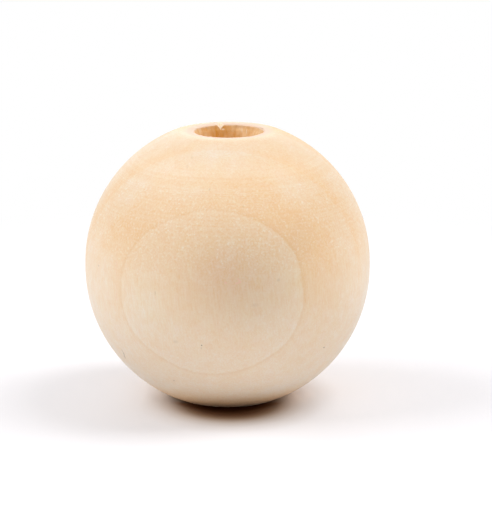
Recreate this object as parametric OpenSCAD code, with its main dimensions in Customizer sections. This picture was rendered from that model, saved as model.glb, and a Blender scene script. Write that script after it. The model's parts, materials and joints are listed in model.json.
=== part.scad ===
// Turned wooden bead, bored through from end to end for a cord.
// The origin is the bead's centre, and +Z runs along the hole.

/* [Bead] */
// Diameter across the bead's middle
bead_d = 20; // [14:0.5:40]
// Height of the straight belt around the bead's middle, between its round halves
belt_h = 0.3; // [0.1:0.05:6]
// Width of the flat ring around the hole at each end
flat_w = 0.6; // [0.2:0.05:2]
// Radius that rolls the round side over onto each flat ring
shoulder_r = 1.9; // [0.5:0.1:3]

/* [Hole] */
// Diameter of the drilled hole between its two flares
hole_d = 4; // [2:0.1:6]
// How far a flare widens the hole at each mouth, on the radius
flare_w = 0.4; // [0.1:0.05:0.8]
// Depth over which a mouth narrows down to the drilled hole
flare_depth = 1.6; // [0.5:0.1:4]
// Radius worn onto the lip of each mouth
lip_r = 0.15; // [0.05:0.01:0.4]

/* [Chip in the upper lip] */
// Width of the chip along the lip
chip_w = 0.66; // [0.2:0.02:1.6]
// Depth of the chip down the wall of the hole
chip_depth = 0.34; // [0.1:0.02:1]
// Reach of the chip outwards across the flat ring
chip_reach = 0.45; // [0.2:0.05:0.8]
// Bearing of the chip around the hole, from +X towards +Y
chip_bearing = 104.5; // [0:0.5:359.5]

/* [Hidden] */
$fn = 128;

// Where an arc runs into the next surface it stands this far proud of it, so that
// the two cross at a point and leave no sliver of a face between them.
proud = 0.0005;
// Cutters run this far past the bead.
over = 1;

bead_r = bead_d / 2;
belt_z = belt_h / 2;
hole_r = hole_d / 2;
mouth_r = hole_r + flare_w;
flare_slope = atan2(flare_w, flare_depth);

// The lip's arc runs from the flat ring onto the sloping wall of the flare.
lip_tangent = lip_r * tan((90 - flare_slope) / 2);
flat_inner_r = mouth_r + lip_tangent;
flat_outer_r = flat_inner_r + flat_w;

// Each shoulder touches the round side from within, so where it sits above the
// belt, and with it the bead's height, follows from its radius and the flat ring.
shoulder_z = belt_z + sqrt((bead_r - shoulder_r) ^ 2 - flat_outer_r ^ 2);
shoulder_a = atan2(shoulder_z - belt_z, flat_outer_r);
end_z = shoulder_z + shoulder_r;

// The chip is a V whose bottom line falls from the flat ring to the hole's wall.
chip_fall = atan2(chip_depth, chip_reach + chip_depth * tan(flare_slope));
chip_half_a = atan2(chip_w / 2, chip_reach * sin(chip_fall));
chip_run = chip_reach + chip_w + chip_depth;

// Draws its children at the upper end of the outline and again at the lower.
module both_ends() {
    children();
    mirror([0, 1])
        children();
}

// The slice of a round half that lies between the belt and the shoulder.
module round_side() {
    translate([0, belt_z])
        intersection() {
            circle(bead_r);
            polygon([
                [0, 0],
                for (a = [0, shoulder_a / 2, shoulder_a]) 2 * bead_r * [cos(a), sin(a)]
            ]);
        }
}

module shoulder() {
    translate([flat_outer_r, shoulder_z] + proud * [cos(shoulder_a), 1])
        circle(shoulder_r);
}

// The turned outline, still solid where the hole will be.
module outline() {
    intersection() {
        union() {
            translate([0, -belt_z])
                square([bead_r, belt_h]);
            both_ends() {
                round_side();
                shoulder();
                polygon([
                    [0, 0],
                    [flat_outer_r, shoulder_z],
                    [flat_outer_r, end_z + over],
                    [0, end_z + over]
                ]);
            }
        }
        translate([-bead_r, -end_z])
            square([bead_d, 2 * end_z]);
    }
}

module lip() {
    translate([flat_inner_r - proud, end_z - lip_r + proud])
        circle(lip_r);
}

// What the drill and the flares take out, short of the rounded lips.
module hole_outline() {
    difference() {
        both_ends()
            polygon([
                [-bead_r - over, 0],
                [hole_r, 0],
                [hole_r, end_z - flare_depth],
                [mouth_r, end_z] - lip_tangent * [sin(flare_slope), cos(flare_slope)],
                [flat_inner_r, end_z - lip_r],
                [flat_inner_r, end_z + over],
                [-bead_r - over, end_z + over]
            ]);
        both_ends()
            lip();
    }
}

module turned_body() {
    rotate_extrude()
        difference() {
            outline();
            hole_outline();
        }
}

// V-shaped cutter that leaves the lip broken away over the chip.
module chip() {
    rotate([0, 0, chip_bearing])
        translate([mouth_r + chip_reach, 0, end_z])
            rotate([0, -chip_fall, 0])
                rotate([90, 0, -90])
                    linear_extrude(height = 2 * chip_run, center = true)
                        polygon([
                            [0, 0],
                            [chip_run * tan(chip_half_a), chip_run],
                            [-chip_run * tan(chip_half_a), chip_run]
                        ]);
}

module bead() {
    color("bisque")
        difference() {
            turned_body();
            chip();
        }
}

bead();
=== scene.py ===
import bpy
import bmesh
import json
from math import atan2, cos, pi, radians, sin, sqrt, tan
from mathutils import Matrix, Vector


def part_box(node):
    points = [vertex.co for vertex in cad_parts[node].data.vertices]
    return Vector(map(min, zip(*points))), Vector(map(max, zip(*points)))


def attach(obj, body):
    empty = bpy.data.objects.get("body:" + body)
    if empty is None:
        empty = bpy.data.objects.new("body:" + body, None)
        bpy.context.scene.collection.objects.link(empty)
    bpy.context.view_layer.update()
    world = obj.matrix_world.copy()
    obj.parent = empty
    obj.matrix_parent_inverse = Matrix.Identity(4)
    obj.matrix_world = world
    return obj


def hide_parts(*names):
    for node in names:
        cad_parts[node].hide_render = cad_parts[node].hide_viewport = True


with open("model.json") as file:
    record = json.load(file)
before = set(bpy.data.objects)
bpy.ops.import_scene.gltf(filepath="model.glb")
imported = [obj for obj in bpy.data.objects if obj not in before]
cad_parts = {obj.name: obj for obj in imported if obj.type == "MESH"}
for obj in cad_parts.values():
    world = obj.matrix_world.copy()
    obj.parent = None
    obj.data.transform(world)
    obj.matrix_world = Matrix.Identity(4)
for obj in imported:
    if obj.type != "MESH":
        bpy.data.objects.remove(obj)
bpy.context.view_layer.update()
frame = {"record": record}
mm = 0.001  # the scene is in metres, and the sizes below are in millimetres
inMillimetres = (1000, 1000, 1000)  # scale that turns a place in metres into millimetres


def mountNamed(name):
    return next(m for m in frame["record"]["mounts"] if m["name"] == name)


# the turned outline, in millimetres
ball = {
    "radius": 10.0,
    "belt": 0.3,  # height of the straight band round the middle
    "shoulder": 1.9,  # radius between the round side and the end
    "flat": 0.6,  # width of the flat ring round each mouth
    "sideSteps": 52,
    "shoulderSteps": 12,
    "flatSteps": 5,
    "turnSteps": 256,
    "mergeWithin": 0.001,
    "smoothUpTo": 40,  # degrees between two faces
}
hole = {
    "radius": mountNamed("bore")["dims"]["r_mm"],
    "flare": 0.4,  # widening at each mouth
    "flareDepth": 1.6,
    "lip": 0.15,  # radius worn onto the lip
    "drift": 0.1,  # how far the upper mouth stands to the right of the bore
    "wallEnd": 0.5,  # height of the last ring of points before the lower half
    "lipSteps": 8,
    "flareSteps": 16,
    "wallSteps": 10,
}
chip = {
    "width": 0.66,
    "depth": 0.34,
    "reach": 0.45,  # outwards across the flat ring
    "bearing": 104.5,  # degrees from +X towards +Y
    "cuts": 12,
    "roughness": 0.03,
    "evenness": 0.6,
    "seed": 4,
    # where its torn wood fades out: off the faces, under them and towards the bore
    "offFaces": (0.08, 0.03),
    "underFaces": (-0.06, -0.02),
    "inwards": (-0.3, -0.2),
}

flareSlope = atan2(hole["flare"], hole["flareDepth"])
mouthR = hole["radius"] + hole["flare"]
lipTangent = hole["lip"] * tan((pi / 2 - flareSlope) / 2)
flatInner = mouthR + lipTangent
flatOuter = flatInner + ball["flat"]
beltZ = ball["belt"] / 2
shoulderZ = beltZ + sqrt((ball["radius"] - ball["shoulder"]) ** 2 - flatOuter ** 2)
shoulderA = atan2(shoulderZ - beltZ, flatOuter)
endZ = shoulderZ + ball["shoulder"]


def deselectAll():
    if bpy.context.object and bpy.context.object.mode != "OBJECT":
        bpy.ops.object.mode_set(mode="OBJECT")
    bpy.ops.object.select_all(action="DESELECT")


def arc(centre, radius, start, end, steps):
    turns = [start + (end - start) * i / steps for i in range(steps + 1)]
    return [(centre[0] + radius * cos(a), centre[1] + radius * sin(a)) for a in turns]


def straight(start, end, steps):
    shares = [i / steps for i in range(1, steps + 1)]
    run, rise = end[0] - start[0], end[1] - start[1]
    return [(start[0] + run * t, start[1] + rise * t) for t in shares]


def upperOutline():
    side = arc((0, beltZ), ball["radius"], 0, shoulderA, ball["sideSteps"])
    shoulder = (flatOuter, shoulderZ)
    roll = arc(shoulder, ball["shoulder"], shoulderA, pi / 2, ball["shoulderSteps"])[1:]
    flat = straight((flatOuter, endZ), (flatInner, endZ), ball["flatSteps"])
    lipCentre = (flatInner, endZ - hole["lip"])
    lip = arc(lipCentre, hole["lip"], pi / 2, pi - flareSlope, hole["lipSteps"])[1:]
    flareEnd = (hole["radius"], endZ - hole["flareDepth"])
    flare = straight(lip[-1], flareEnd, hole["flareSteps"])
    wall = straight(flare[-1], (hole["radius"], hole["wallEnd"]), hole["wallSteps"])
    return side + roll + flat + lip + flare + wall


def drawAndSpin(name, points, steps):
    deselectAll()
    bpy.ops.mesh.primitive_plane_add(size=mm, location=(0, 0, 0))
    piece = bpy.context.object
    piece.name = piece.data.name = name
    bpy.ops.object.mode_set(mode="EDIT")
    bpy.ops.mesh.select_all(action="SELECT")
    bpy.ops.mesh.merge(type="CENTER")
    bpy.ops.transform.translate(value=(points[0][0] * mm, 0, points[0][1] * mm))
    for before, after in zip(points, points[1:] + points[:1]):
        step = ((after[0] - before[0]) * mm, 0, (after[1] - before[1]) * mm)
        bpy.ops.mesh.extrude_region_move(TRANSFORM_OT_translate={"value": step})
    bpy.ops.mesh.select_all(action="SELECT")
    bpy.ops.mesh.spin(steps=steps, angle=2 * pi, center=(0, 0, 0), axis=(0, 0, 1))
    bpy.ops.mesh.select_all(action="SELECT")
    bpy.ops.mesh.remove_doubles(threshold=ball["mergeWithin"] * mm)
    bpy.ops.mesh.normals_make_consistent(inside=False)
    bpy.ops.object.mode_set(mode="OBJECT")
    return piece


def selectWhere(piece, test):
    bpy.ops.object.mode_set(mode="EDIT")
    bpy.ops.mesh.select_mode(type="VERT")
    bpy.ops.mesh.select_all(action="DESELECT")
    mesh = bmesh.from_edit_mesh(piece.data)
    for vertex in mesh.verts:
        vertex.select = test(vertex.co / mm)
    mesh.select_flush_mode()
    bmesh.update_edit_mesh(piece.data)


def applyModifier(piece, kind, settings):
    modifier = piece.modifiers.new(kind.lower(), kind)
    for key, value in settings.items():
        setattr(modifier, key, value)
    bpy.context.view_layer.objects.active = piece
    bpy.ops.object.modifier_apply(modifier=modifier.name)


def driftMouth(piece):
    # the flare follows, back to the straight bore
    slack = {"height": 0.02, "radius": 0.01}
    lowest, widest = endZ - slack["height"], flatInner + slack["radius"]
    selectWhere(piece, lambda p: p.z > lowest and p.xy.length < widest)
    bpy.ops.transform.translate(
        value=(hole["drift"] * mm, 0, 0),
        use_proportional_edit=True,
        use_proportional_connected=True,
        proportional_edit_falloff="SMOOTH",
        proportional_size=hole["flareDepth"] * mm,
    )
    bpy.ops.object.mode_set(mode="OBJECT")


def wearLips(piece):
    # millimetres; it only takes wood away
    wear = {"grain": 0.3, "depth": 0.07, "down": 0.35, "outwards": 0.08, "octaves": 2}
    lowest, widest = endZ - wear["down"], flatInner + wear["outwards"]
    selectWhere(piece, lambda p: abs(p.z) > lowest and p.xy.length < widest)
    bpy.ops.object.vertex_group_add()
    bpy.ops.object.vertex_group_assign()
    bpy.ops.object.mode_set(mode="OBJECT")
    clouds = bpy.data.textures.new("lipWear", "CLOUDS")
    clouds.noise_scale = wear["grain"] * mm
    clouds.noise_depth = wear["octaves"]
    applyModifier(piece, "DISPLACE", {
        "texture": clouds, "strength": wear["depth"] * mm, "mid_level": 1.0,
        "vertex_group": piece.vertex_groups[-1].name,
    })


def breakChip(piece):
    fall = atan2(chip["depth"], chip["reach"] + chip["depth"] * tan(flareSlope))
    halfAngle = atan2(chip["width"] / 2, chip["reach"] * sin(fall))
    run = chip["reach"] + chip["width"] + chip["depth"]
    deselectAll()
    bpy.ops.mesh.primitive_cylinder_add(vertices=3, radius=run * mm, depth=2 * run * mm)
    cutter = bpy.context.object
    bpy.ops.object.mode_set(mode="EDIT")
    bpy.ops.mesh.select_all(action="SELECT")
    # the corner on +Y becomes the V's bottom line, through the origin
    bpy.ops.transform.translate(value=(0, -run * mm, 0))
    opening = tan(halfAngle) / tan(pi / 6)  # against a triangle with equal sides
    bpy.ops.transform.resize(value=(opening, 1, 1), center_override=(0, 0, 0))
    bpy.ops.mesh.subdivide(number_cuts=chip["cuts"])
    bpy.ops.transform.vertex_random(
        offset=chip["roughness"] * mm, uniform=chip["evenness"], seed=chip["seed"])
    bpy.ops.object.mode_set(mode="OBJECT")
    stand = Matrix.Rotation(-pi / 2, 4, "Z") @ Matrix.Rotation(-pi / 2, 4, "X")
    tilt = Matrix.Rotation(-fall, 4, "Y")
    lift = Matrix.Translation(Vector((mouthR + chip["reach"], 0, endZ)) * mm)
    turn = Matrix.Rotation(radians(chip["bearing"]), 4, "Z")
    aside = Matrix.Translation(Vector((hole["drift"], 0, 0)) * mm)
    cutter.matrix_world = aside @ turn @ lift @ tilt @ stand
    applyModifier(piece, "BOOLEAN", {
        "object": cutter, "operation": "DIFFERENCE", "solver": "EXACT",
    })
    bpy.data.objects.remove(cutter)


print("bead: turning the outline")
outline = upperOutline()
outline = outline + [(r, -z) for r, z in reversed(outline)]
bead = drawAndSpin("turned_bead", outline, ball["turnSteps"])
print("bead: wearing the lips and breaking the chip")
driftMouth(bead)
wearLips(bead)
breakChip(bead)
deselectAll()
bead.select_set(True)
bpy.context.view_layer.objects.active = bead
bpy.ops.object.shade_smooth_by_angle(angle=radians(ball["smoothUpTo"]))
print("bead:", len(bead.data.polygons), "faces")


class Wire:
    # an output socket; sums and products of wires add their Math nodes
    def __init__(self, tree, socket=None):
        self.tree = tree
        self.socket = socket

    def node(self, kind, settings=None, values=None, out=0):
        made = self.tree.nodes.new(kind)
        for key, value in (settings or {}).items():
            if key == "stops":
                fillRamp(made.color_ramp, value)
            else:
                setattr(made, key, value)
        for key, value in (values or {}).items():
            if isinstance(value, Wire):
                self.tree.links.new(value.socket, made.inputs[key])
            else:
                made.inputs[key].default_value = value
        return Wire(self.tree, made.outputs[out] if made.outputs else None)

    def maths(self, operation, *values):
        return self.node("ShaderNodeMath", {"operation": operation}, dict(enumerate(values)))

    def vector(self, operation, other, out=0):
        values = {0: self, 1: other}
        return self.node("ShaderNodeVectorMath", {"operation": operation}, values, out)

    def length(self):
        return self.node("ShaderNodeVectorMath", {"operation": "LENGTH"}, {0: self}, out=1)

    def split(self):
        first = self.node("ShaderNodeSeparateXYZ", None, {0: self})
        return [Wire(self.tree, output) for output in first.socket.node.outputs]

    def joined(self, x=0.0, y=0.0, z=0.0):
        return self.node("ShaderNodeCombineXYZ", None, {0: x, 1: y, 2: z})

    def ramp(self, stops):
        return self.node("ShaderNodeValToRGB", {"stops": stops}, {0: self})

    def __add__(self, other):
        return self.maths("ADD", self, other)

    def __sub__(self, other):
        return self.maths("SUBTRACT", self, other)

    def __rsub__(self, other):
        return self.maths("SUBTRACT", other, self)

    def __mul__(self, other):
        return self.maths("MULTIPLY", self, other)

    def __truediv__(self, other):
        return self.maths("DIVIDE", self, other)

    __radd__ = __add__
    __rmul__ = __mul__

    def clamped(self):
        return self.node("ShaderNodeClamp", None, {0: self})

    def between(self, low, high, start=0.0, end=1.0):
        # start at low to end at high, smoothly
        values = {0: self, 1: low, 2: high, 3: start, 4: end}
        return self.node("ShaderNodeMapRange", {"interpolation_type": "SMOOTHSTEP"}, values)

    def placed(self, scale=(1, 1, 1), location=(0, 0, 0), rotation=(0, 0, 0)):
        return self.node("ShaderNodeMapping", None, {
            "Vector": self, "Location": location, "Rotation": rotation, "Scale": scale,
        })

    def noise(self, scale=1.0, detail=2.0, roughness=0.5, swirl=0.0):
        # about -1 to 1, and 0 on average
        cloud = self.node("ShaderNodeTexNoise", {"normalize": True}, {
            "Vector": self, "Scale": scale, "Detail": detail,
            "Roughness": roughness, "Distortion": swirl,
        })
        return (cloud - 0.5) * 2.0

    def blend(self, start, end):
        # a colour from start to end, by this wire
        values = {0: self, 6: start, 7: end}
        return self.node("ShaderNodeMix", {"data_type": "RGBA"}, values, out=2)


def fillRamp(ramp, stops):
    for position, level in stops[:-2]:
        ramp.elements.new(position)
    for element, (position, level) in zip(ramp.elements, stops):
        element.position = position
        element.color = level if isinstance(level, tuple) else (level, level, level, 1)


def newMaterial(name):
    material = bpy.data.materials.new(name)
    material.use_nodes = True
    material.node_tree.nodes.clear()
    return material, Wire(material.node_tree)


def colour(red, green, blue):
    return (red, green, blue, 1.0)


wood = {
    # from pale to tan
    "tones": [
        (0.00, colour(0.80, 0.792, 0.800)), (0.25, colour(0.80, 0.718, 0.623)),
        (0.50, colour(0.80, 0.649, 0.485)), (0.75, colour(0.80, 0.586, 0.378)),
        (1.00, colour(0.80, 0.529, 0.294)),
    ],
    "endGrain": colour(0.71, 0.525, 0.405),
    "torn": colour(0.86, 0.70, 0.52),
    "speck": colour(0.30, 0.22, 0.16),
    "blush": colour(0.80, 0.47, 0.37),
    "shine": colour(0.86, 0.74, 0.60),
    "roughness": 0.65,
    "specular": 0.2,
    "sheen": 0.04,
    "sheenRoughness": 0.5,
    "bump": 0.18,
    "bumpDepth": 0.02,  # millimetres
    "pith": (3.57, 27.792),  # where the middle of the tree lies, millimetres
    "lean": (0.5, 6.57),  # degrees that the grain leans about X and Y
    "pithDistance": 28.02,
}
boreWall = {
    "dark": colour(0.70, 0.32, 0.055),
    "light": colour(0.86, 0.60, 0.34),
    "contrast": 1.1,  # of the streaks
    "lightness": 0.8,
    "shaded": ((-0.6, 2.2, 8.8), (1.9, 1.5, 2.0), 0.1),  # centre, radii, core
    "shading": 0.7,
    "edge": (0.06, -0.02),  # from the mouth's radius
}
# along the growth rings: distance outwards from the bead's middle, how tan low down and high up
seenRings = [
    (0.8, 0.24, 0.48), (2.2, 0.24, 0.53), (3.2, 0.29, 0.61), (3.8, 0.35, 0.68),
    (4.25, 0.38, 0.74), (4.50, 0.39, 0.73), (4.57, 0.36, 0.63), (4.9, 0.36, 0.61),
    (5.4, 0.38, 0.61), (6.0, 0.41, 0.63), (6.8, 0.46, 0.75), (7.6, 0.48, 0.79),
    (8.1, 0.51, 0.83), (8.31, 0.55, 0.82), (8.36, 0.49, 0.75), (8.9, 0.51, 0.75),
    (9.4, 0.54, 0.77), (9.7, 0.57, 0.81), (10.0, 0.62, 0.84),
]
# the rings behind the middle: their edges, and steps across each ring with how tan
backRings = {
    "edges": (-8.0, -4.2, -0.4),
    "steps": [(-0.05, 0.46), (0.02, 0.36), (0.8, 0.32), (2.4, 0.38)],
    "farthest": 0.36,
    "rise": 0.30,  # how much more tan they are high up
}
ringSpan = 10.5
# where the rings wander: centre, radii in millimetres, shift inwards
ringWaves = [
    ((-4.4, -7.6, -4.6), (3.2, 4.0, 3.0), -0.11),
    ((-3.6, -7.2, 5.2), (2.4, 3.0, 2.4), -0.08),
    ((5.2, -8.3, 0.9), (2.2, 3.0, 1.8), -0.08),
    ((4.0, -8.2, -3.2), (2.0, 3.0, 1.8), 0.06),
]


def ringStops(high):
    rise = backRings["rise"] if high else 0.0
    stops = [(-ringSpan, backRings["farthest"] + rise)]
    for edge in backRings["edges"]:
        for step, level in backRings["steps"]:
            if edge + step < seenRings[0][0]:
                stops.append((edge + step, level + rise))
    stops += [(d, top if high else low) for d, low, top in seenRings]
    return [((d + ringSpan) / (2 * ringSpan), level) for d, level in stops]


def fromMouth(steps):
    # two radii, from the steps past the mouth's own
    return tuple(mouthR + step for step in steps)


def softSpot(place, centre, radii, core=0.25):
    # 1 at the centre, 0 outside the radii
    scale = tuple(1 / r for r in radii)
    offset = place.placed(scale, tuple(-c / r for c, r in zip(centre, radii)))
    return offset.length().between(1.0, core)


def withSpots(value, place, spots):
    # each spot changes the value most at its centre
    for centre, radii, change in spots:
        value = value + softSpot(place, centre, radii, 0.0) * change
    return value


def withMarks(body, place, marks, finish):
    for centre, radii, strength in marks:
        body = (softSpot(place, centre, radii) * strength).blend(body, wood[finish])
    return body


def stroke(place, start, end, width):
    # 1 along the line from start to end, 0 outside the width
    line = Vector(end) - Vector(start)
    offset = place.vector("SUBTRACT", start)
    share = (offset.vector("DOT_PRODUCT", tuple(line), out=1) / line.length_squared).clamped()
    nearest = share.joined(*(share * line[i] for i in range(3)))
    solidShare = 0.3  # of the width
    return offset.vector("DISTANCE", nearest, out=1).between(width, width * solidShare)


def chipFaces(place):
    # 1 on the faces of the chip's V, from its slopes
    turned = place.placed(rotation=(0, 0, -radians(chip["bearing"])))
    outwards, across, up = turned.split()
    fall = chip["depth"] / (chip["reach"] + chip["depth"] * tan(flareSlope))
    above = up - endZ + (mouthR + chip["reach"] - outwards) * fall
    gap = across.maths("ABSOLUTE", across) - above * (chip["width"] / 2 / chip["depth"])
    onFaces = gap.between(*chip["offFaces"]) * above.between(*chip["underFaces"])
    return onFaces * outwards.between(*fromMouth(chip["inwards"]))


# places a little paler or more tan: centre, radii in millimetres, change of tone
patches = [
    ((-2.7, -7.0, 6.8), (2.6, 3.0, 1.3), -0.10),
    ((4.2, -6.3, 6.6), (1.4, 2.5, 1.4), -0.12),
    ((-6.9, -6.0, 4.0), (2.8, 2.8, 2.2), 0.10),
    ((6.6, -6.7, 3.6), (2.4, 2.6, 3.6), 0.07),
    ((3.7, -9.2, 1.3), (1.7, 2.0, 2.2), -0.04),
    ((-8.4, -5.4, 0.4), (1.6, 2.5, 2.6), -0.10),
    ((2.0, -5.0, 8.5), (1.6, 2.0, 0.9), 0.04),
    ((-7.6, -3.1, 5.9), (1.6, 2.5, 2.4), 0.10),
    ((-5.6, -8.3, -1.0), (2.4, 3.0, 3.4), -0.10),
    ((9.3, -3.5, -0.3), (1.6, 4.0, 4.0), -0.10),
    ((0.4, -4.3, 8.9), (4.2, 2.0, 0.9), -0.12),
    ((-1.2, -4.5, 8.8), (1.6, 2.0, 1.0), -0.08),
    ((-8.8, -4.0, 3.6), (2.4, 3.5, 2.6), 0.08),
    ((6.9, -5.0, 5.4), (2.2, 3.0, 2.2), 0.08),
    ((4.3, -7.6, 4.9), (1.4, 2.5, 1.4), 0.08),
    ((-3.0, -9.2, -2.0), (2.2, 3.0, 2.2), -0.06),
    ((1.0, -9.4, -3.2), (2.6, 3.0, 1.7), 0.06),
]
# painted light and shade, fixed to the bead: duller and brighter places, the painted shade in the
# middle of the front first
# centre, radii, change of brightness
paintedLightPlaces = [
    ((1.2, -9.75, 1.1), (5.8, 6.0, 4.8), -0.105),
    ((4.7, -8.0, 3.6), (2.4, 3.0, 2.2), -0.035),
    ((8.9, -4.0, 0.0), (2.0, 4.0, 4.0), 0.025),
]
# pinker and greener places: centre, radii, change of green
hues = [
    ((-0.3, -9.9, 1.4), (3.4, 3.0, 2.4), -0.020),
    ((4.6, -8.8, 1.0), (1.8, 3.0, 2.2), 0.014),
    ((-5.4, -8.2, -1.0), (3.0, 3.4, 3.4), 0.014),
    ((0.0, -3.8, 8.9), (5.0, 3.0, 1.4), -0.008),
]
# centre, radii in millimetres, and strength
specks = [
    ((-1.70, -9.28, -3.46), (0.07, 0.2, 0.08), 0.85),
    ((-1.73, -9.20, -3.67), (0.06, 0.2, 0.10), 0.30),
    ((6.65, -6.09, -4.47), (0.08, 0.2, 0.08), 0.75),
    ((-2.38, -4.82, 8.58), (0.08, 0.3, 0.2), 0.12),
    ((-2.69, -5.47, 8.07), (0.08, 0.3, 0.2), 0.10),
    ((-1.16, -7.30, 6.88), (0.07, 0.2, 0.12), 0.18),
    ((1.11, -8.12, 5.88), (0.07, 0.2, 0.12), 0.15),
    ((-8.84, -4.60, 0.95), (0.10, 0.2, 0.09), 0.25),
    ((-3.65, -6.65, -6.67), (0.08, 0.2, 0.10), 0.35),
    ((-4.83, -8.76, 0.05), (0.05, 0.2, 0.22), 0.25),
    ((0.80, 2.59, 9.53), (0.07, 0.2, 0.10), 0.30),
    ((1.58, 2.32, 9.53), (0.07, 0.2, 0.10), 0.30),
    ((-3.47, -8.83, -3.32), (0.25, 0.5, 0.18), 0.12),
    ((3.48, -9.33, 1.10), (0.16, 0.4, 0.16), 0.16),
    ((1.90, -9.81, -0.51), (0.35, 0.5, 0.22), 0.08),
]
# short thin strokes: start, end, half width in millimetres, strength, finish
strokes = [
    ((-7.30, -4.82, -5.00), (-7.17, -4.77, -5.23), 0.07, 0.40, "speck"),
    ((-7.17, -4.77, -5.23), (-7.09, -4.35, -5.70), 0.07, 0.55, "speck"),
    ((0.76, -9.90, 1.31), (0.93, -9.91, 1.10), 0.07, 0.50, "blush"),
    ((0.93, -9.91, 1.10), (0.63, -9.94, 1.01), 0.07, 0.50, "blush"),
    ((-0.08, -9.96, 1.07), (-0.05, -9.96, 1.05), 0.10, 0.50, "blush"),
    ((-7.50, -6.45, 1.65), (-7.52, -6.54, -1.00), 0.09, 0.22, "blush"),
    ((7.84, -5.81, 2.34), (7.86, -6.14, -0.89), 0.07, 0.45, "shine"),
    ((8.68, -4.44, 2.37), (8.71, -4.74, -1.45), 0.07, 0.45, "shine"),
]
# fibres torn out of the bore's wall, paler than it
tornFibres = [
    ((1.01, 2.08, 9.20), (0.06, 0.3, 0.34), 0.7),
    ((1.33, 1.88, 9.12), (0.05, 0.3, 0.30), 0.7),
    ((-0.32, 2.29, 9.17), (0.16, 0.3, 0.09), 0.8),
    ((-1.66, 1.73, 9.45), (0.16, 0.3, 0.14), 0.5),
]


# heights over the bead's middle, in millimetres, from where to where each change runs
levels = {
    "highTones": (-3.5, 4.5),
    "foot": (-7.3, -9.0),
    "rightwards": (-1.5, 2.5),
    "flecksBegin": (0.0, 3.0),
    "flecksEnd": (8.0, 6.0),
    "slopeBegins": (2.0, 5.5),
    "slopeEnds": (9.0, 7.0),
    "speckle": (-0.5, 3.5),
    "brighter": (2.5, 6.0),
    "dullTop": (7.4, 9.3),
    "dullSides": (2.0, 5.5),
    "endGrain": (7.5, 9.4),
}
# the oval's edge and the thin lines on both sides of it, by distance along the rings
oval = {
    "outside": (8.36, 8.31),
    "outerLine": (8.16, 8.30),
    "innerLine": (8.33, 8.38),
    "innerLineEnd": (8.52, 8.42),
}
# repeats to the millimetre on each axis, detail and roughness
fibres = {
    "jag": ((7, 7, 0.8), 2.0, 0.5),
    "fibre": ((9, 9, 0.55), 3.0, 0.6),
    "fineFibre": ((22, 22, 1.6), 2.0, 0.6),
    "blush": ((1.8, 1.8, 0.9), 3.0, 0.6),
    "streak": ((2.2, 2.2, 0.5), 4.0, 0.65),
}
# repeats to the millimetre, detail, roughness and swirl
clouds = {
    "speckle": (7.5, 3.0, 0.65),
    "blotch": (0.28, 3.0, 0.55),
    "mottle": (1.3, 3.0, 0.6),
    "flecks": (7.5, 2.0, 0.5, 1.0),
}
turningMarks = {"outwards": 0.5, "along": 9.0, "detail": 3.0, "roughness": 0.6}
# what each pattern adds to the figure, and to the height of the bump
figureShares = {"mottle": 0.16, "fibre": 0.19, "fineFibre": 0.20, "turning": 0.24, "flecks": 0.26}
bumpShares = {
    "fibre": 0.5, "fineFibre": 0.3, "speckle": 0.5, "flecks": 0.3, "turning": 0.4, "streak": 2.0,
}
roughShares = {"blotch": 0.04, "fibre": 0.05, "inHole": 0.2}
# how strongly each part changes the tone, and the brightness
# the foot, "brighter" and the dull top and sides are painted light and not the wood's own colour
toneShares = {"right": 0.11, "blotch": 0.05, "outerLine": 0.06, "innerLine": 0.02, "foot": 0.50}
shadeShares = {
    "plain": 1.005, "figure": 0.10, "outerLine": 0.022, "innerLine": 0.008, "foot": 0.02,
    "brighter": 0.025, "dullTop": 0.08, "dullSides": 0.045, "blush": 0.03,
}
speckleShares = (0.19, 0.30)  # in the figure, low down and high up
jagDepth = 0.035
blushOffset = (5, 0, 3)
flecksSeen = (0.05, 0.50)
rightSide = {"shift": 3.5, "reach": (2.5, 7.5)}
bothSides = (3.5, 7.5)
endGrainReach = {"radii": (0.95, 0.35), "cover": 0.95}


def drawn(place, name, offset=(0, 0, 0)):
    stretch, detail, roughness = fibres[name]
    return place.placed(stretch, offset).noise(1.0, detail, roughness)


def addedUp(patterns, shares):
    parts = [patterns[name] * share for name, share in shares.items()]
    total = parts[0]
    for part in parts[1:]:
        total = total + part
    return total


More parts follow.
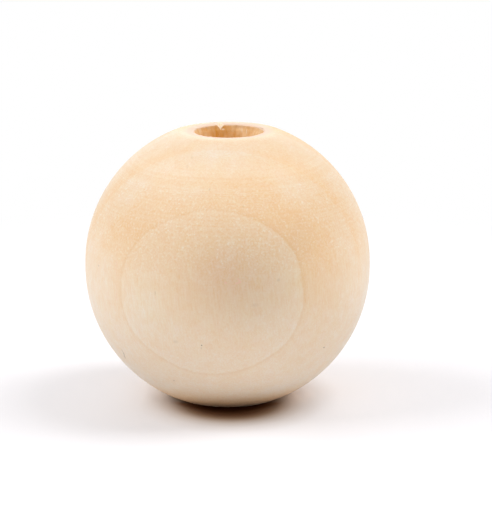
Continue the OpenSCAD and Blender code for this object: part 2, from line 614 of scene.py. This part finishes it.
def makeWood():
    material, start = newMaterial("turned_wood")
    place = start.node("ShaderNodeTexCoord", out=3).placed(inMillimetres)
    side, _, height = place.split()
    drift = height.between(endZ - hole["flareDepth"], endZ) * hole["drift"]
    mouthPlace = place.vector("SUBTRACT", drift.joined(drift))
    radius = mouthPlace.vector("MULTIPLY", (1, 1, 0)).length()

    # growth rings round a leaning pith
    leanX, leanY = (radians(angle) for angle in wood["lean"])
    pithX, pithY = wood["pith"]
    leaning = place.placed(rotation=(leanX, leanY, 0), location=(-pithX, -pithY, 0))
    distance = leaning.vector("MULTIPLY", (1, 1, 0)).length()
    jag = drawn(leaning, "jag") * jagDepth
    ring = withSpots(distance - wood["pithDistance"] + jag, place, ringWaves)
    along = (ring + ringSpan) / (2 * ringSpan)
    low, high = along.ramp(ringStops(False)), along.ramp(ringStops(True))
    outside = ring.between(*oval["outside"])
    outerLine = ring.between(*oval["outerLine"]) * outside
    innerLine = ring.between(*oval["innerLine"]) * ring.between(*oval["innerLineEnd"])

    # fibres run along the grain, so a slope cuts them short and shows flecks
    fibre = drawn(leaning, "fibre")
    fineFibre = drawn(leaning, "fineFibre")
    blush = drawn(leaning, "blush", blushOffset)
    speckle, blotch, mottle, flecks = (place.noise(*cloud) for cloud in clouds.values())
    flecks = flecks.between(*flecksSeen) * height.between(*levels["flecksBegin"])
    flecks = flecks * height.between(*levels["flecksEnd"])
    marks = height.joined(radius * turningMarks["outwards"], 0.0, height * turningMarks["along"])
    turning = marks.noise(1.0, turningMarks["detail"], turningMarks["roughness"])
    onSlope = height.between(*levels["slopeBegins"]) * height.between(*levels["slopeEnds"])
    patterns = {
        "fibre": fibre, "fineFibre": fineFibre, "mottle": mottle, "speckle": speckle,
        "flecks": flecks, "turning": turning * onSlope,
    }

    # more tan to the right, from nearer the middle high up
    toRight = side + height.between(*levels["rightwards"]) * rightSide["shift"]
    toRight = toRight.between(*rightSide["reach"])
    # more tan high up and paler low down, partly the wood's own tone and partly painted light:
    # the paler lower half stands for the white light thrown up from the floor
    tone = low + (high - low) * height.between(*levels["highTones"])
    tone = withSpots(tone + toRight * outside * toneShares["right"], place, patches)
    # a paler streak or fleck is brighter as well
    figure = addedUp(patterns, figureShares)
    figure = figure + speckle * height.between(*levels["speckle"], *speckleShares)
    # painted light: the foot is tanner and a little brighter, standing for the warm light thrown
    # back from the brown shadow under the bead
    atFoot = height.between(*levels["foot"])
    tone = tone + blotch * toneShares["blotch"] - figure + outerLine * toneShares["outerLine"]
    tone = tone - innerLine * toneShares["innerLine"] + atFoot * toneShares["foot"]
    body = tone.ramp(wood["tones"])
    shade = shadeShares["plain"] + figure * shadeShares["figure"]
    shade = shade - outerLine * shadeShares["outerLine"] + innerLine * shadeShares["innerLine"]
    shade = shade + atFoot * shadeShares["foot"]
    # painted light and shade: brighter on the upper slope, darker at the painted places, over the
    # top's shoulder and on the upper sides
    shade = shade + height.between(*levels["brighter"]) * shadeShares["brighter"]
    shade = shade - height.between(*levels["dullTop"]) * shadeShares["dullTop"]
    shade = withSpots(shade, place, paintedLightPlaces)
    toSide = side.maths("ABSOLUTE", side).between(*bothSides)
    shade = shade - toSide * height.between(*levels["dullSides"]) * shadeShares["dullSides"]
    green = withSpots(shade - blush * shadeShares["blush"], place, hues)
    body = body.vector("MULTIPLY", shade.joined(shade, green, shade))

    # the flat ends show end grain, and the hole's wall is darker, in streaks along the fibres
    atEnd = radius.between(*fromMouth(endGrainReach["radii"]))
    atEnd = atEnd * height.between(*levels["endGrain"])
    body = (atEnd * endGrainReach["cover"]).blend(body, wood["endGrain"])
    inHole = radius.between(*fromMouth(boreWall["edge"]))
    streak = drawn(place, "streak")
    patterns["streak"] = inHole * streak
    shaded = softSpot(place, *boreWall["shaded"]) * boreWall["shading"]
    wall = (streak * boreWall["contrast"] + boreWall["lightness"] - shaded).clamped()
    wall = wall.blend(boreWall["dark"], boreWall["light"])
    wall = withMarks(wall, place, tornFibres, "torn")
    body = inHole.blend(body, wall)
    body = chipFaces(mouthPlace).blend(body, wood["torn"])

    body = withMarks(body, place, specks, "speck")
    for begin, end, width, strength, finish in strokes:
        body = (stroke(place, begin, end, width) * strength).blend(body, wood[finish])

    rough = wood["roughness"] + blotch * roughShares["blotch"] + fibre * roughShares["fibre"]
    rough = rough + inHole * roughShares["inHole"]
    bump = start.node("ShaderNodeBump", None, {
        "Strength": wood["bump"], "Distance": wood["bumpDepth"] * mm,
        "Height": addedUp(patterns, bumpShares),
    })
    shader = start.node("ShaderNodeBsdfPrincipled", None, {
        "Base Color": body, "Roughness": rough, "Normal": bump,
        "Specular IOR Level": wood["specular"],
        "Sheen Weight": wood["sheen"], "Sheen Roughness": wood["sheenRoughness"],
    })
    start.node("ShaderNodeOutputMaterial", None, {"Surface": shader})
    return material


print("wood: building the material")
bead.data.materials.clear()
bead.data.materials.append(makeWood())
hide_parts("bead")
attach(bead, "root")


studio = {
    "floor": colour(0.84, 0.83, 0.855),
    "floorSize": 3000.0,  # millimetres
    "plainUpTo": 25.0,
    "whiteFrom": 60.0,
    "ambient": 0.57,  # strength of the world's light
}
# painted over the real shadow: the floor is brown and dark under the bead, mostly to the front
contact = {
    "centre": (0.2, -2.8, 0.0),
    "narrowing": 1.08,  # of the shade from side to side
    # distance from the centre in millimetres, and the light left there
    "shade": [
        (1.4, 0.11), (2.0, 0.15), (2.6, 0.23), (3.1, 0.35), (3.5, 0.48),
        (3.8, 0.61), (4.2, 0.76), (4.7, 0.87), (5.5, 0.95), (7.0, 1.0),
    ],
    "warmth": (1.0, 1.42, 1.85),
    "rim": colour(0.78, 0.56, 0.42),  # warmer close to the bead
    "rimReach": (4.7, 4.0),
    "rimFront": (-1.8, -2.8),
    # painted light: the floor is lighter beside the bead: centre, radii, gain
    "lift": [
        ((4.7, -0.7, 0.0), (1.9, 3.0, 5.0), 0.16),
        ((-4.5, 0.2, 0.0), (1.4, 2.4, 5.0), 0.13),
    ],
    "reach": 8.0,
}
lamps = [
    # azimuth from the camera's side, elevation, distance, width, height (mm), power (W)
    ("left", -88, 45, 320, 235, 150, 0.507),
    ("right", 100, 54, 320, 150, 250, 0.58),
    ("back", 180, 18, 320, 130, 130, 0.176),
    ("front", 0, 18, 320, 130, 130, 0.04),
]
view = {
    "distance": 200.0,
    "elevation": 13.51,
    "aim": (1.295, 0.0, 0.0),
    "focalLength": 194.03,
    "nearest": 0.01,  # metres
}


def direction(azimuth, elevation):
    # azimuth 0 is in front, 90 to the right
    a, e = radians(azimuth), radians(elevation)
    return Vector((sin(a) * cos(e), -cos(a) * cos(e), sin(e)))


def makeFloor():
    deselectAll()
    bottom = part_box("bead")[0].z
    bpy.ops.mesh.primitive_plane_add(size=studio["floorSize"] * mm, location=(0, 0, bottom))
    floor = bpy.context.object
    floor.name = "floor"
    material, start = newMaterial("floor_paint")
    place = start.node("ShaderNodeTexCoord", out=3).placed(inMillimetres)
    away = place.length()
    # painted shade and warm light under the bead, and painted light beside it, over the real
    # shadow
    squeeze = (contact["narrowing"], 1, 1)
    under = place.placed(squeeze, tuple(-c * n for c, n in zip(contact["centre"], squeeze)))
    stops = []
    for reach, left in contact["shade"]:
        tinted = colour(*(left ** warmth for warmth in contact["warmth"]))
        stops.append((reach / contact["reach"], tinted))
    shade = (under.length() / contact["reach"]).ramp(stops)
    tint = shade.vector("MULTIPLY", studio["floor"][:3])
    front = place.split()[1]
    rim = away.between(*contact["rimReach"]) * front.between(*contact["rimFront"])
    tint = tint.vector("MULTIPLY", rim.blend(colour(1, 1, 1), contact["rim"]))
    for centre, radii, gain in contact["lift"]:
        lift = softSpot(place, centre, radii, 0.0) * gain + 1.0
        tint = tint.vector("MULTIPLY", lift.joined(lift, lift, lift))
    paint = start.node("ShaderNodeBsdfDiffuse", None, {"Color": tint})
    glow = {"Color": colour(1, 1, 1), "Strength": 1.0}
    white = start.node("ShaderNodeEmission", None, glow)
    seen = start.node("ShaderNodeLightPath", out=0)
    far = away.between(studio["plainUpTo"], studio["whiteFrom"]) * seen
    surface = start.node("ShaderNodeMixShader", None, {0: far, 1: paint, 2: white})
    start.node("ShaderNodeOutputMaterial", None, {"Surface": surface})
    floor.data.materials.append(material)


def makeWorld():
    world = bpy.data.worlds.new("studio")
    bpy.context.scene.world = world
    world.use_nodes = True
    world.node_tree.nodes.clear()
    start = Wire(world.node_tree)
    kinds = ("Is Camera Ray", "Is Glossy Ray", "Is Transmission Ray")
    camera, glossy, through = (start.node("ShaderNodeLightPath", out=kind) for kind in kinds)
    seen = (camera + glossy + through).clamped()
    strength = studio["ambient"] + seen * (1.0 - studio["ambient"])
    light = {"Color": colour(1, 1, 1), "Strength": strength}
    back = start.node("ShaderNodeBackground", None, light)
    start.node("ShaderNodeOutputWorld", None, {"Surface": back})


def makeLamp(name, azimuth, elevation, distance, width, height, power):
    light = bpy.data.lights.new(name, "AREA")
    light.shape = "RECTANGLE"
    light.size, light.size_y = width * mm, height * mm
    light.energy = power
    lamp = bpy.data.objects.new(name, light)
    bpy.context.scene.collection.objects.link(lamp)
    towards = direction(azimuth, elevation)
    lamp.location = towards * distance * mm
    lamp.rotation_euler = towards.to_track_quat("Z", "Y").to_euler()


def makeCamera():
    camera = bpy.data.objects.new("camera", bpy.data.cameras.new("camera"))
    bpy.context.scene.collection.objects.link(camera)
    camera.data.lens = view["focalLength"]
    camera.data.clip_start = view["nearest"]
    back = direction(0, view["elevation"])
    camera.location = (Vector(view["aim"]) + back * view["distance"]) * mm
    camera.rotation_euler = back.to_track_quat("Z", "Y").to_euler()
    bpy.context.scene.camera = camera


print("studio: floor, light and camera")
makeFloor()
makeWorld()
for lamp in lamps:
    makeLamp(*lamp)
makeCamera()
bpy.context.scene.view_settings.view_transform = "Standard"
